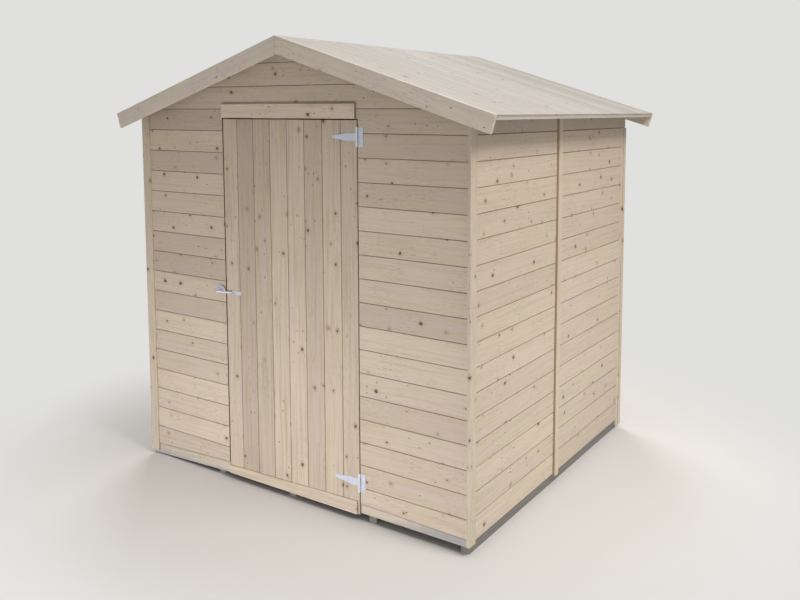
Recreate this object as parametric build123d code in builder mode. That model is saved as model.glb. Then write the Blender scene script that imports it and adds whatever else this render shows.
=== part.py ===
"""Wooden garden shed with an apex roof, a boarded door on T hinges and a hasp over a staple.

Millimetres. +X runs to the right across the front, +Y to the back, +Z up from the ground.
The origin is on the ground, under the middle of the four walls.
"""

import os
from math import cos, radians, sin, tan

from build123d import *

os.makedirs("parts", exist_ok=True)

# Walls, over the outer faces of the cladding
wall_width = 2100.0
wall_depth = 1820.0
cladding = 12.0
panel_joint = 2.0
side_joint_y = -30.0

# Framing behind the cladding
frame_depth = 28.0
frame_width = 44.0

# Floor
bearer_height = 50.0
bearer_width = 44.0
bearer_count = 5
floor_board = 12.0
floor_edge_lap = 6.0

# Roof, measured to the upper face of its boards, with its ridge at a set rise over the door
gable_over_door = 400.0
roof_pitch = 17.3
roof_board = 11.0
side_overhang = 146.0
front_overhang = 60.0
back_overhang = 80.0
eaves_strip_width = 25.0
eaves_strip_thickness = 12.0
purlin_distance = 590.0
ridge_beam_depth = 58.0
barge_width = 84.0
barge_thickness = 16.0
mitre_gap = 1.0

# Trim
corner_batten_width = 55.0
corner_batten_proud = 4.0
corner_batten_forward = 10.0
long_batten_foot = 20.0
rear_strip_width = 32.0
rear_strip_proud = 8.0
batten_foot_lap = 11.0
cover_batten_width = 45.0
cover_batten_thickness = 12.0
top_board_height = 121.0
header_height = 70.0
header_thickness = 12.0
header_short = 5.0
skirt_top = 82.0
skirt_drop_left = 24.0
skirt_drop_right = 10.0
skirt_depth_left = 56.0
skirt_foot_right = 38.0
skirt_thickness = 9.0
skirt_joint = 2.0
kick_strip_low_end = 42.0
kick_strip_high_end = 66.0
kick_strip_thickness = 9.0

# Door
door_width = 868.0
door_height = 1876.0
door_bottom = 30.0
door_centre_x = 10.0
door_gap = 6.0
door_stop_width = 14.0
ledge_height = 70.0
ledge_thickness = 22.0
ledge_end_clearance = 9.0
brace_foot = 88.0
kick_strip_setback = 10.5

# T hinges
hinge_from_foot = 160.0
hinge_from_head = 77.0
barrel_radius = 6.0
hinge_pin_radius = 3.0
pin_seat_clearance = 0.1
pin_turn_clearance = 0.3
hinge_metal = 2.5
hinge_plate_height = 90.0
hinge_plate_width = 34.0
strap_root_height = 40.0
strap_shoulder_height = 36.0
strap_waist_height = 23.0
strap_tip_height = 16.0
strap_shoulder = 62.0
strap_waist = 100.0
strap_length = 149.0
knuckle_gap = 1.0
pin_head_height = 2.0
pin_head_rim = 1.8
screw_radius = 2.2
plate_screw_inset = 10.0
strap_screw_inset = 16.0

# Hasp and staple
hasp_from_foot = 979.0
hasp_droop = 4.0
hasp_axis_inset = 52.0
hasp_knuckle_radius = 4.0
hasp_pin_radius = 1.6
hasp_metal = 2.5
hasp_plate_length = 54.0
hasp_plate_height = 20.0
hasp_screw_inset = 9.0
hasp_screw_spacing = 24.0
hasp_pin_head_height = 1.0
hasp_pin_head_rim = 1.4
hasp_bar_height = 11.0
hasp_reach = 132.0
hasp_lug_radius = 33.0
hasp_lug_centre = 85.0
hasp_lug_rise = 3.0
hasp_rib_end = 6.0
hasp_rib_width = 6.6
hasp_rib_height = 3.0
hasp_rib_round = 2.6
staple_rise = 8.0
staple_wire = 2.5
staple_bend = 8.5
staple_stand_off = 15.0
staple_clearance = 2.0

# Faces and levels that follow
half_width = wall_width / 2
half_depth = wall_depth / 2
side_inner = half_width - cladding
end_inner = half_depth - cladding
frame_inner_x = side_inner - frame_depth
frame_inner_y = end_inner - frame_depth
floor_top = bearer_height + floor_board
floor_end = end_inner - door_gap
door_top = door_bottom + door_height
ridge_height = door_top + gable_over_door
slope = radians(roof_pitch)
fall = tan(slope)
board_plumb = roof_board / cos(slope)
rafter_plumb = frame_width / cos(slope)
tip_x = half_width + side_overhang
side_top = ridge_height - half_width * fall - board_plumb
top_board_bottom = side_top - top_board_height
opening_left = door_centre_x - door_width / 2 - door_gap
opening_right = door_centre_x + door_width / 2 + door_gap
door_left = opening_left + door_gap
door_right = opening_right - door_gap
opening_top = door_top + door_gap
hinge_low_z = door_bottom + hinge_from_foot
hinge_high_z = door_top - hinge_from_head
hasp_z = door_bottom + hasp_from_foot
wall_foot = skirt_top + skirt_joint
side_bottom = floor_top - floor_edge_lap
batten_foot = side_bottom - batten_foot_lap
batten_end = half_depth + corner_batten_forward
batten_inner_end = batten_end - corner_batten_width


def export(part, name):
    """Labels a finished piece and writes it under its node's name."""
    part.label = name
    export_step(part, f"parts/{name}.step")


def upright(y):
    """The upright plane at y as seen from the front. What is extruded from it comes forward."""
    return Plane.XZ.offset(-y)


def under_roof(x):
    """Height of the underside of the roof boards at x."""
    return ridge_height - abs(x) * fall - board_plumb


def slope_plane(sign, y):
    """Upright plane at y whose first axis runs down the slope from the ridge on that side."""
    across = (sign * cos(slope), 0, -sin(slope))
    return Plane(origin=(0, y, ridge_height), x_dir=across, z_dir=(0, -sign, 0))


# Floor: five bearers on edge, front to back, with one deck of boards over them
with BuildPart() as floor_bearers:
    with BuildSketch(Plane.XY):
        with GridLocations((2 * side_inner - bearer_width) / (bearer_count - 1), 1, bearer_count, 1):
            Rectangle(bearer_width, 2 * floor_end)
    extrude(amount=bearer_height)
export(floor_bearers.part, "floor_bearers")

with BuildPart() as floor_boards:
    with BuildSketch(Plane.XY.offset(bearer_height)):
        Rectangle(2 * side_inner, 2 * floor_end)
    extrude(amount=floor_board)
export(floor_boards.part, "floor_boards")


# Front and back cladding: each panel's top edge lies under the roof boards
def gable_panel(name, y, left, right, left_foot, right_foot):
    """A gable wall's cladding panel, back face at y, from the heights of its two feet up to the roof."""
    crown = [(0, under_roof(0))] if left < 0 < right else []
    top = [(right, under_roof(right)), *crown, (left, under_roof(left))]
    with BuildPart() as panel:
        with BuildSketch(upright(y)):
            with BuildLine():
                Polyline((left, left_foot), (right, right_foot), *top, close=True)
            make_face()
        extrude(amount=cladding)
    export(panel.part, name)


left_corner_foot = wall_foot - skirt_drop_left
right_corner_foot = wall_foot - skirt_drop_right
gable_panel("front_wall_left", -end_inner, -side_inner, opening_left, left_corner_foot, wall_foot)
gable_panel("front_wall_right", -end_inner, opening_right, side_inner, wall_foot, right_corner_foot)
gable_panel("front_gable", -end_inner, opening_left, opening_right, opening_top, opening_top)
gable_panel("back_wall_left", half_depth, -side_inner, -panel_joint / 2, skirt_foot_right, skirt_foot_right)
gable_panel("back_wall_right", half_depth, panel_joint / 2, side_inner, skirt_foot_right, skirt_foot_right)

# Side cladding: two panels a side, and one long board over both up to the eaves. The left side
# starts at the front corner, behind a batten on the front, and the right side behind its own batten.
side_start = {"left": -half_depth, "right": -batten_inner_end}

for side, sign in (("left", -1), ("right", 1)):
    front_bay = (side_start[side], side_joint_y - panel_joint / 2)
    rear_bay = (side_joint_y + panel_joint / 2, batten_inner_end)
    for bay_name, (low, high) in (("front", front_bay), ("rear", rear_bay)):
        with BuildPart() as panel:
            with BuildSketch(Plane.XY.offset(side_bottom)):
                with Locations((sign * (half_width - cladding / 2), (low + high) / 2)):
                    Rectangle(cladding, high - low)
            extrude(amount=top_board_bottom - side_bottom)
        export(panel.part, f"{side}_wall_{bay_name}")

with BuildPart() as side_top_boards:
    with BuildSketch(Plane.XY.offset(top_board_bottom)):
        for side, sign in (("left", -1), ("right", 1)):
            with Locations((sign * (half_width - cladding / 2), (side_start[side] + batten_end) / 2)):
                Rectangle(cladding, batten_end - side_start[side])
    extrude(amount=top_board_height)
export(side_top_boards.part, "side_top_boards")

# Side framing: each panel has a rail top and bottom and three studs between them
stud_bottom = floor_top + frame_width
stud_top = side_top - frame_width
frame_front_bay = (-frame_inner_y, side_joint_y - panel_joint / 2)
frame_rear_bay = (side_joint_y + panel_joint / 2, frame_inner_y)

for side, sign in (("left", -1), ("right", 1)):
    with BuildPart() as studs:
        with BuildSketch(Plane.XY.offset(stud_bottom)):
            for low, high in (frame_front_bay, frame_rear_bay):
                with Locations((sign * (side_inner - frame_depth / 2), (low + high) / 2)):
                    with GridLocations(1, (high - low - frame_width) / 2, 1, 3):
                        Rectangle(frame_depth, frame_width)
        extrude(amount=stud_top - stud_bottom)
    export(studs.part, f"{side}_studs")

    with BuildPart() as rails:
        for level in (floor_top, stud_top):
            with BuildSketch(Plane.XY.offset(level)):
                for low, high in (frame_front_bay, frame_rear_bay):
                    with Locations((sign * (side_inner - frame_depth / 2), (low + high) / 2)):
                        Rectangle(frame_depth, high - low)
            extrude(amount=frame_width)
    export(rails.part, f"{side}_rails")

# Gable framing: rafters under the roof, posts cut to the slope below them, rails between posts
with BuildPart() as gable_rafters:
    for y in (-frame_inner_y, end_inner):
        for sign in (-1, 1):
            inner = sign * panel_joint / 2
            outer = sign * side_inner
            with BuildSketch(upright(y)):
                with BuildLine():
                    Polyline(
                        (inner, under_roof(inner)),
                        (outer, under_roof(outer)),
                        (outer, under_roof(outer) - rafter_plumb),
                        (inner, under_roof(inner) - rafter_plumb),
                        close=True,
                    )
                make_face()
            extrude(amount=frame_depth)
export(gable_rafters.part, "gable_rafters")


def gable_posts(name, y, lefts):
    """Posts of a gable frame, one from each left edge, with tops cut to the rafters' underside."""
    with BuildPart() as posts:
        for left in lefts:
            right = left + frame_width
            with BuildSketch(upright(y)):
                with BuildLine():
                    Polyline(
                        (left, floor_top),
                        (right, floor_top),
                        (right, under_roof(right) - rafter_plumb),
                        (left, under_roof(left) - rafter_plumb),
                        close=True,
                    )
                make_face()
            extrude(amount=frame_depth)
    export(posts.part, name)


def gable_rails(name, y, spans):
    """Level rails of a gable frame. Each span is its left end, right end and underside."""
    with BuildPart() as rails:
        with BuildSketch(upright(y)):
            for left, right, bottom in spans:
                with Locations(((left + right) / 2, bottom + frame_width / 2)):
                    Rectangle(right - left, frame_width)
        extrude(amount=frame_depth)
    export(rails.part, name)


post_left = opening_left - frame_width
post_right = opening_right
end_post = side_inner - frame_width
middle_rail = (floor_top + side_top) / 2
gable_posts("front_posts", -frame_inner_y, (-side_inner, post_left, post_right, end_post))
gable_rails(
    "front_rails",
    -frame_inner_y,
    (
        (-end_post, post_left, floor_top),
        (post_right + frame_width, end_post, floor_top),
        (-end_post, post_left, middle_rail),
        (post_right + frame_width, end_post, middle_rail),
        (opening_left, opening_right, opening_top),
    ),
)

back_centre = panel_joint / 2
back_quarter = (end_post + back_centre + frame_width) / 2 - frame_width / 2
back_lefts = (-side_inner, -back_quarter - frame_width, -back_centre - frame_width)
back_rights = (back_centre, back_quarter, end_post)
gable_posts("back_posts", end_inner, back_lefts + back_rights)
gable_rails(
    "back_rails",
    end_inner,
    [
        (left, right, level)
        for level in (floor_top, middle_rail)
        for left, right in (
            (-end_post, -back_quarter - frame_width),
            (-back_quarter, -back_centre - frame_width),
            (back_centre + frame_width, back_quarter),
            (back_quarter + frame_width, end_post),
        )
    ],
)

# Roof timbers: a ridge beam and a purlin on each slope, from gable frame to gable frame
ridge_beam_top = under_roof(frame_depth / 2)

with BuildPart() as ridge_beam:
    with BuildSketch(upright(frame_inner_y)):
        with Locations((0, ridge_beam_top - ridge_beam_depth / 2)):
            Rectangle(frame_depth, ridge_beam_depth)
    extrude(amount=2 * frame_inner_y)
export(ridge_beam.part, "ridge_beam")

with BuildPart() as purlins:
    for sign in (-1, 1):
        with BuildSketch(slope_plane(sign, sign * frame_inner_y)):
            with Locations((purlin_distance, -roof_board - frame_width / 2)):
                Rectangle(frame_depth, frame_width)
        extrude(amount=2 * frame_inner_y)
export(purlins.part, "purlins")

# Roof boards: one boarded slope each side, plumb at the ridge and square at the eaves
slope_length = tip_x / cos(slope)
roof_front = -half_depth - front_overhang + barge_thickness
roof_back = half_depth + back_overhang - barge_thickness
roof_run = roof_back - roof_front

for side, sign in (("left", -1), ("right", 1)):
    far_end = roof_back if sign > 0 else roof_front
    with BuildPart() as roof:
        with BuildSketch(slope_plane(sign, far_end)):
            with BuildLine():
                Polyline(
                    (0, 0),
                    (slope_length, 0),
                    (slope_length, -roof_board),
                    (roof_board * fall, -roof_board),
                    close=True,
                )
            make_face()
        extrude(amount=roof_run)
    export(roof.part, f"roof_{side}")

with BuildPart() as eaves_strips:
    for sign in (-1, 1):
        far_end = roof_back if sign > 0 else roof_front
        with BuildSketch(slope_plane(sign, far_end)):
            with Locations((slope_length - eaves_strip_width / 2, -roof_board - eaves_strip_thickness / 2)):
                Rectangle(eaves_strip_width, eaves_strip_thickness)
        extrude(amount=roof_run)
export(eaves_strips.part, "eaves_strips")

# Barge boards: plumb mitre at the apex, square cut at the tip, over the ends of the roof boards
for end, far_y in (("front", roof_front), ("back", half_depth + back_overhang)):
    for side, sign in (("left", -1), ("right", 1)):
        start = far_y if sign > 0 else far_y - barge_thickness
        mitre = mitre_gap / 2 / cos(slope)
        with BuildPart() as barge:
            with BuildSketch(slope_plane(sign, start)):
                with BuildLine():
                    Polyline(
                        (mitre, 0),
                        (slope_length, 0),
                        (slope_length, -barge_width),
                        (mitre + barge_width * fall, -barge_width),
                        close=True,
                    )
                make_face()
            extrude(amount=barge_thickness)
        export(barge.part, f"barge_{end}_{side}")

# Corner battens. The right front one lies in the side claddings' plane, proud of it, and stops short of the
# ground. The left front one is on the front. Each back corner has a flush strip and a prouder one beyond it,
# both under the long top board.
batten_thickness = cladding + corner_batten_proud
batten_front_top = under_roof(half_width + corner_batten_proud)
rear_split = batten_end - rear_strip_width

with BuildPart() as corner_battens:
    with BuildSketch(Plane.XY.offset(batten_foot)):
        with Locations((side_inner + batten_thickness / 2, -(batten_end + batten_inner_end) / 2)):
            Rectangle(batten_thickness, corner_batten_width)
    extrude(amount=batten_front_top - batten_foot)
    with BuildSketch(Plane.XY.offset(long_batten_foot)):
        with Locations((-half_width + corner_batten_width / 2, -half_depth - corner_batten_forward / 2)):
            Rectangle(corner_batten_width, corner_batten_forward)
    extrude(amount=batten_front_top - long_batten_foot)
    for sign in (-1, 1):
        for near, far, thickness in (
            (batten_inner_end, rear_split, cladding),
            (rear_split, batten_end, cladding + rear_strip_proud),
        ):
            with BuildSketch(Plane.XY.offset(long_batten_foot)):
                with Locations((sign * (side_inner + thickness / 2), (near + far) / 2)):
                    Rectangle(thickness, far - near)
            extrude(amount=top_board_bottom - long_batten_foot)
export(corner_battens.part, "corner_battens")

# Cover battens over the joints between panels
with BuildPart() as cover_battens:
    for sign in (-1, 1):
        with BuildSketch(Plane.XY.offset(batten_foot)):
            with Locations((sign * (half_width + cover_batten_thickness / 2), side_joint_y)):
                Rectangle(cover_batten_thickness, cover_batten_width)
        extrude(amount=under_roof(half_width + cover_batten_thickness) - batten_foot)
    with BuildSketch(Plane.XY.offset(skirt_foot_right)):
        with Locations((0, half_depth + cover_batten_thickness / 2)):
            Rectangle(cover_batten_width, cover_batten_thickness)
    extrude(amount=under_roof(cover_batten_width / 2) - skirt_foot_right)
export(cover_battens.part, "cover_battens")

# Header board over the door
header_left = opening_left + header_short
header_right = opening_right - 2 * header_short

with BuildPart() as door_header:
    with BuildSketch(upright(-half_depth)):
        with Locations(((header_left + header_right) / 2, opening_top + header_height / 2)):
            Rectangle(header_right - header_left, header_height)
    extrude(amount=header_thickness)
export(door_header.part, "door_header")

# Skirting strips under the front cladding, either side of the doorway and set back from its face. Both are
# cut to follow the ground, and their top edges fall towards the corners.
skirt_corner_left = skirt_top - skirt_drop_left
skirt_corner_right = skirt_top - skirt_drop_right

with BuildPart() as base_strips:
    with BuildSketch(upright(-end_inner)):
        with BuildLine():
            Polyline(
                (-side_inner, skirt_corner_left - skirt_depth_left),
                (opening_left, skirt_top - skirt_depth_left),
                (opening_left, skirt_top),
                (-side_inner, skirt_corner_left),
                close=True,
            )
        make_face()
        with BuildLine():
            Polyline(
                (opening_right, skirt_foot_right),
                (side_inner, skirt_foot_right),
                (side_inner, skirt_corner_right),
                (opening_right, skirt_top),
                close=True,
            )
        make_face()
    extrude(amount=skirt_thickness)
export(base_strips.part, "base_strips")

# Door stops: a strip up each door post, behind the closed door
with BuildPart() as door_stops:
    with BuildSketch(Plane.XY.offset(floor_top)):
        for centre_x in (opening_left + door_stop_width / 2, opening_right - door_stop_width / 2):
            with Locations((centre_x, -(floor_end + frame_inner_y) / 2)):
                Rectangle(door_stop_width, floor_end - frame_inner_y)
    extrude(amount=opening_top - floor_top)
export(door_stops.part, "door_stops")

# Door: upright boards on three ledges and two braces, with a weather strip across its foot
with BuildPart() as door_boards:
    with BuildSketch(upright(-end_inner)):
        with Locations((door_centre_x, door_bottom + door_height / 2)):
            Rectangle(door_width, door_height)
    extrude(amount=cladding)
export(door_boards.part, "door_boards")

ledge_left = opening_left + door_stop_width + ledge_end_clearance
ledge_right = opening_right - door_stop_width - ledge_end_clearance
ledge_levels = (hinge_low_z, (hinge_low_z + hinge_high_z) / 2, hinge_high_z)

with BuildPart() as door_ledges:
    with BuildSketch(upright(-end_inner + ledge_thickness)):
        for level in ledge_levels:
            with Locations(((ledge_left + ledge_right) / 2, level)):
                Rectangle(ledge_right - ledge_left, ledge_height)
    extrude(amount=ledge_thickness)
export(door_ledges.part, "door_ledges")

with BuildPart() as door_braces:
    for low, high in zip(ledge_levels, ledge_levels[1:]):
        foot = low + ledge_height / 2
        head = high - ledge_height / 2
        with BuildSketch(upright(-end_inner + ledge_thickness)):
            with BuildLine():
                Polyline(
                    (ledge_right - brace_foot, foot),
                    (ledge_right, foot),
                    (ledge_left + brace_foot, head),
                    (ledge_left, head),
                    close=True,
                )
            make_face()
        extrude(amount=ledge_thickness)
export(door_braces.part, "door_braces")

with BuildPart() as door_kick_strip:
    kick_right = door_right - kick_strip_setback
    with BuildSketch(upright(-half_depth)):
        with BuildLine():
            Polyline(
                (door_left, door_bottom),
                (kick_right, door_bottom),
                (kick_right, door_bottom + kick_strip_high_end),
                (door_left, door_bottom + kick_strip_low_end),
                close=True,
            )
        make_face()
    extrude(amount=kick_strip_thickness)
export(door_kick_strip.part, "door_kick_strip")

# T hinges: the post's plate carries two knuckles, the door's tapered strap turns between them
hinge_x = opening_right - door_gap / 2
hinge_y = -half_depth - barrel_radius
hinge_levels = (hinge_low_z, hinge_high_z)
post_knuckle = (hinge_plate_height - strap_root_height) / 2 - knuckle_gap
plate_start = hinge_x + barrel_radius + knuckle_gap
plate_end = hinge_x + hinge_plate_width
cut_height = strap_root_height + 2 * knuckle_gap

with BuildPart() as hinge_plates:
    for level in hinge_levels:
        with BuildSketch(upright(-half_depth)):
            with Locations(((hinge_x + plate_end) / 2, level)):
                Rectangle(plate_end - hinge_x, hinge_plate_height)
            with Locations(((hinge_x + plate_start) / 2, level)):
                Rectangle(plate_start - hinge_x, cut_height, mode=Mode.SUBTRACT)
            with Locations((plate_end - plate_screw_inset, level)):
                with GridLocations(1, hinge_plate_height - 2 * plate_screw_inset, 1, 2):
                    Circle(screw_radius, mode=Mode.SUBTRACT)
        extrude(amount=hinge_metal)
        for foot in (level - hinge_plate_height / 2, level + cut_height / 2):
            with BuildSketch(Plane.XY.offset(foot)):
                with Locations((hinge_x, hinge_y)):
                    Circle(barrel_radius)
            extrude(amount=post_knuckle)
        with BuildSketch(Plane.XY.offset(level - hinge_plate_height / 2)):
            with Locations((hinge_x, hinge_y)):
                Circle(hinge_pin_radius + pin_seat_clearance)
        extrude(amount=hinge_plate_height, mode=Mode.SUBTRACT)
export(hinge_plates.part, "hinge_plates")

with BuildPart() as hinge_straps:
    for level in hinge_levels:
        root = strap_root_height / 2
        nose = strap_tip_height / 2
        nose_x = hinge_x - strap_length + nose
        with BuildSketch(upright(-half_depth)):
            with BuildLine():
                Polyline(
                    (nose_x, level - nose),
                    (hinge_x - strap_waist, level - strap_waist_height / 2),
                    (hinge_x - strap_shoulder, level - strap_shoulder_height / 2),
                    (hinge_x, level - root),
                    (hinge_x, level + root),
                    (hinge_x - strap_shoulder, level + strap_shoulder_height / 2),
                    (hinge_x - strap_waist, level + strap_waist_height / 2),
                    (nose_x, level + nose),
                )
                ThreePointArc((nose_x, level + nose), (nose_x - nose, level), (nose_x, level - nose))
            make_face()
            with Locations((hinge_x - strap_length / 2, level)):
                with GridLocations(strap_length / 2 - strap_screw_inset, 1, 3, 1):
                    Circle(screw_radius, mode=Mode.SUBTRACT)
        extrude(amount=hinge_metal)
        with BuildSketch(Plane.XY.offset(level - root)):
            with Locations((hinge_x, hinge_y)):
                Circle(barrel_radius)
        extrude(amount=strap_root_height)
        with BuildSketch(Plane.XY.offset(level - root)):
            with Locations((hinge_x, hinge_y)):
                Circle(hinge_pin_radius + pin_turn_clearance)
        extrude(amount=strap_root_height, mode=Mode.SUBTRACT)
export(hinge_straps.part, "hinge_straps")

with BuildPart() as hinge_pins:
    for level in hinge_levels:
        pin_top = level + hinge_plate_height / 2
        with BuildSketch(Plane.XY.offset(level - hinge_plate_height / 2)):
            with Locations((hinge_x, hinge_y)):
                Circle(hinge_pin_radius)
        extrude(amount=hinge_plate_height)
        with BuildSketch(Plane.XY.offset(pin_top)):
            with Locations((hinge_x, hinge_y)):
                Circle(hinge_pin_radius + pin_head_rim)
        extrude(amount=pin_head_height)
export(hinge_pins.part, "hinge_pins")

# Hasp: a two-knuckle plate on the door, and a slotted leaf that folds over the wall's staple. A rib pressed
# along the leaf's bar stiffens it.
hasp_x = door_left + hasp_axis_inset
hasp_y = -half_depth - hasp_knuckle_radius
hasp_bore = hasp_pin_radius + pin_turn_clearance
hasp_knuckle = (hasp_plate_height - hasp_bar_height) / 2 - knuckle_gap / 2
hasp_plate_start = hasp_x + hasp_knuckle_radius + knuckle_gap
hasp_plate_end = hasp_x + hasp_plate_length
hasp_foot = hasp_z - hasp_plate_height / 2

with BuildPart() as hasp_plate:
    with BuildSketch(upright(-half_depth)):
        with Locations(((hasp_x + hasp_plate_end) / 2, hasp_z)):
            Rectangle(hasp_plate_length, hasp_plate_height)
        with Locations(((hasp_x + hasp_plate_start) / 2, hasp_z)):
            Rectangle(hasp_plate_start - hasp_x, hasp_bar_height + knuckle_gap, mode=Mode.SUBTRACT)
        with Locations((hasp_plate_end - hasp_screw_inset - hasp_screw_spacing / 2, hasp_z)):
            with GridLocations(hasp_screw_spacing, 1, 2, 1):
                Circle(screw_radius, mode=Mode.SUBTRACT)
    extrude(amount=hasp_metal)
    for foot in (hasp_foot, hasp_z + (hasp_bar_height + knuckle_gap) / 2):
        with BuildSketch(Plane.XY.offset(foot)):
            with Locations((hasp_x, hasp_y)):
                Circle(hasp_knuckle_radius)
        extrude(amount=hasp_knuckle)
    with BuildSketch(Plane.XY.offset(hasp_foot)):
        with Locations((hasp_x, hasp_y)):
            Circle(hasp_pin_radius + pin_seat_clearance)
    extrude(amount=hasp_plate_height, mode=Mode.SUBTRACT)
export(hasp_plate.part, "hasp_plate")

with BuildPart() as hasp_pin:
    with BuildSketch(Plane.XY.offset(hasp_foot)):
        with Locations((hasp_x, hasp_y)):
            Circle(hasp_pin_radius)
    extrude(amount=hasp_plate_height)
    with BuildSketch(Plane.XY.offset(hasp_foot + hasp_plate_height)):
        with Locations((hasp_x, hasp_y)):
            Circle(hasp_pin_radius + hasp_pin_head_rim)
    extrude(amount=hasp_pin_head_height)
export(hasp_pin.part, "hasp_pin")

staple_x = hasp_x - hasp_lug_centre * cos(radians(hasp_droop)) - staple_rise * sin(radians(hasp_droop))
staple_z = hasp_z - hasp_lug_centre * sin(radians(hasp_droop)) + staple_rise * cos(radians(hasp_droop))
slot_length = 2 * (staple_bend + staple_wire + staple_clearance)
slot_height = 2 * (staple_wire + staple_clearance)
leaf_front = hasp_y - hasp_knuckle_radius

with BuildPart() as hasp_leaf:
    with BuildSketch(upright(leaf_front + hasp_metal)):
        with Locations(Location((hasp_x, hasp_z), hasp_droop)):
            with Locations((-hasp_reach / 2, 0)):
                Rectangle(hasp_reach, hasp_bar_height)
            with Locations((-hasp_lug_centre, hasp_lug_rise)):
                Circle(hasp_lug_radius)
            with Locations((-hasp_lug_centre, -hasp_bar_height / 2)):
                Rectangle(
                    2 * hasp_lug_radius,
                    2 * hasp_lug_radius,
                    align=(Align.CENTER, Align.MAX),
                    mode=Mode.SUBTRACT,
                )
            with Locations((-hasp_lug_centre, staple_rise)):
                SlotOverall(slot_length, slot_height, mode=Mode.SUBTRACT)
    extrude(amount=hasp_metal)
    with BuildSketch(upright(leaf_front)):
        with Locations(Location((hasp_x, hasp_z), hasp_droop)):
            with Locations((-hasp_reach / 2, 0)):
                SlotOverall(hasp_reach - 2 * hasp_rib_end, hasp_rib_width)
    extrude(amount=hasp_rib_height)
    fillet(hasp_leaf.faces().sort_by(Axis.Y)[0].edges(), radius=hasp_rib_round)
    with BuildSketch(Plane.XY.offset(hasp_z - hasp_bar_height / 2)):
        with Locations((hasp_x, hasp_y)):
            Circle(hasp_knuckle_radius)
    extrude(amount=hasp_bar_height)
    with BuildSketch(Plane.XY.offset(hasp_z - hasp_plate_height / 2)):
        with Locations((hasp_x, hasp_y)):
            Circle(hasp_bore)
    extrude(amount=hasp_plate_height, mode=Mode.SUBTRACT)
export(hasp_leaf.part, "hasp_leaf")

with BuildPart() as staple:
    crown_y = -half_depth - staple_stand_off
    with BuildLine(Plane.XY.offset(staple_z)) as staple_path:
        Line((staple_x - staple_bend, -half_depth), (staple_x - staple_bend, crown_y))
        ThreePointArc(
            (staple_x - staple_bend, crown_y),
            (staple_x, crown_y - staple_bend),
            (staple_x + staple_bend, crown_y),
        )
        Line((staple_x + staple_bend, crown_y), (staple_x + staple_bend, -half_depth))
    with BuildSketch(Plane.XZ.offset(half_depth)):
        with Locations((staple_x - staple_bend, staple_z)):
            Circle(staple_wire)
    sweep(path=staple_path.line)
export(staple.part, "staple")
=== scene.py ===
"""Wooden garden shed, dressed: boards, sawn timber, trim, ironwork, light and camera round the
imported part.

Metres, in the part's own frame: +X to the right across the front, +Y to the back, +Z up from the
ground.
"""

import math

import bmesh
import bpy
import numpy as np
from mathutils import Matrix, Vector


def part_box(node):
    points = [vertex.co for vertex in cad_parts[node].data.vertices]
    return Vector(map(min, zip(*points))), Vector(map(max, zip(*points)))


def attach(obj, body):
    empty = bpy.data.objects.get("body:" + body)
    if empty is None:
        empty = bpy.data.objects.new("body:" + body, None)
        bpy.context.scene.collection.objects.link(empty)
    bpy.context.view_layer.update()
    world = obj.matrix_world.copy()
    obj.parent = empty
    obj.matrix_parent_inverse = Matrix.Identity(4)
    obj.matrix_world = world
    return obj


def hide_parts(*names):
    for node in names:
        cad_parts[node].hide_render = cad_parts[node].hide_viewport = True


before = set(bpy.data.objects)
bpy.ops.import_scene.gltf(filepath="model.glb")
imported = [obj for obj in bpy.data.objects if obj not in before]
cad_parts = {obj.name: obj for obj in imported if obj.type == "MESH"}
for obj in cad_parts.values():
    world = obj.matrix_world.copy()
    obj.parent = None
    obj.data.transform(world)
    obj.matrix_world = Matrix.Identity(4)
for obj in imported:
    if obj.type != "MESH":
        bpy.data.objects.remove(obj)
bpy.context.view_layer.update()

# Floor bearers: five softwood battens on edge, which carry the deck and lie on the ground. They are
# sawn and treated, coloured a dark grey, and show under the walls. Their long edges are a little worn.
FLAT_ANGLE = math.radians(0.5)
EDGE_ANGLE = math.radians(20)
END_FACING = 0.7


def read(items, name, kind, width=1):
    """One property of all vertices, edges, corners or faces of a mesh, a row for each."""
    values = np.empty(len(items) * width, kind)
    items.foreach_get(name, values)
    return values.reshape(-1, width) if width > 1 else values


def add_attribute(mesh, name, kind, values, domain="POINT"):
    """Writes one number or vector for each vertex, or for each face."""
    layer = mesh.attributes.new(name, kind, domain)
    field = "value" if kind == "FLOAT" else "vector"
    layer.data.foreach_set(field, np.asarray(values, np.float32).ravel())


def timber_numbers(edges, count):
    """Which timber each vertex is in, from 0: every vertex takes the lowest vertex number that it
    can reach, by passing lower numbers along the edges until none changes."""
    label = np.arange(count)
    while True:
        least = label.copy()
        np.minimum.at(least, edges[:, 0], label[edges[:, 1]])
        np.minimum.at(least, edges[:, 1], label[edges[:, 0]])
        if np.array_equal(least, label):
            return np.unique(label, return_inverse=True)[1]
        label = least


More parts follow.
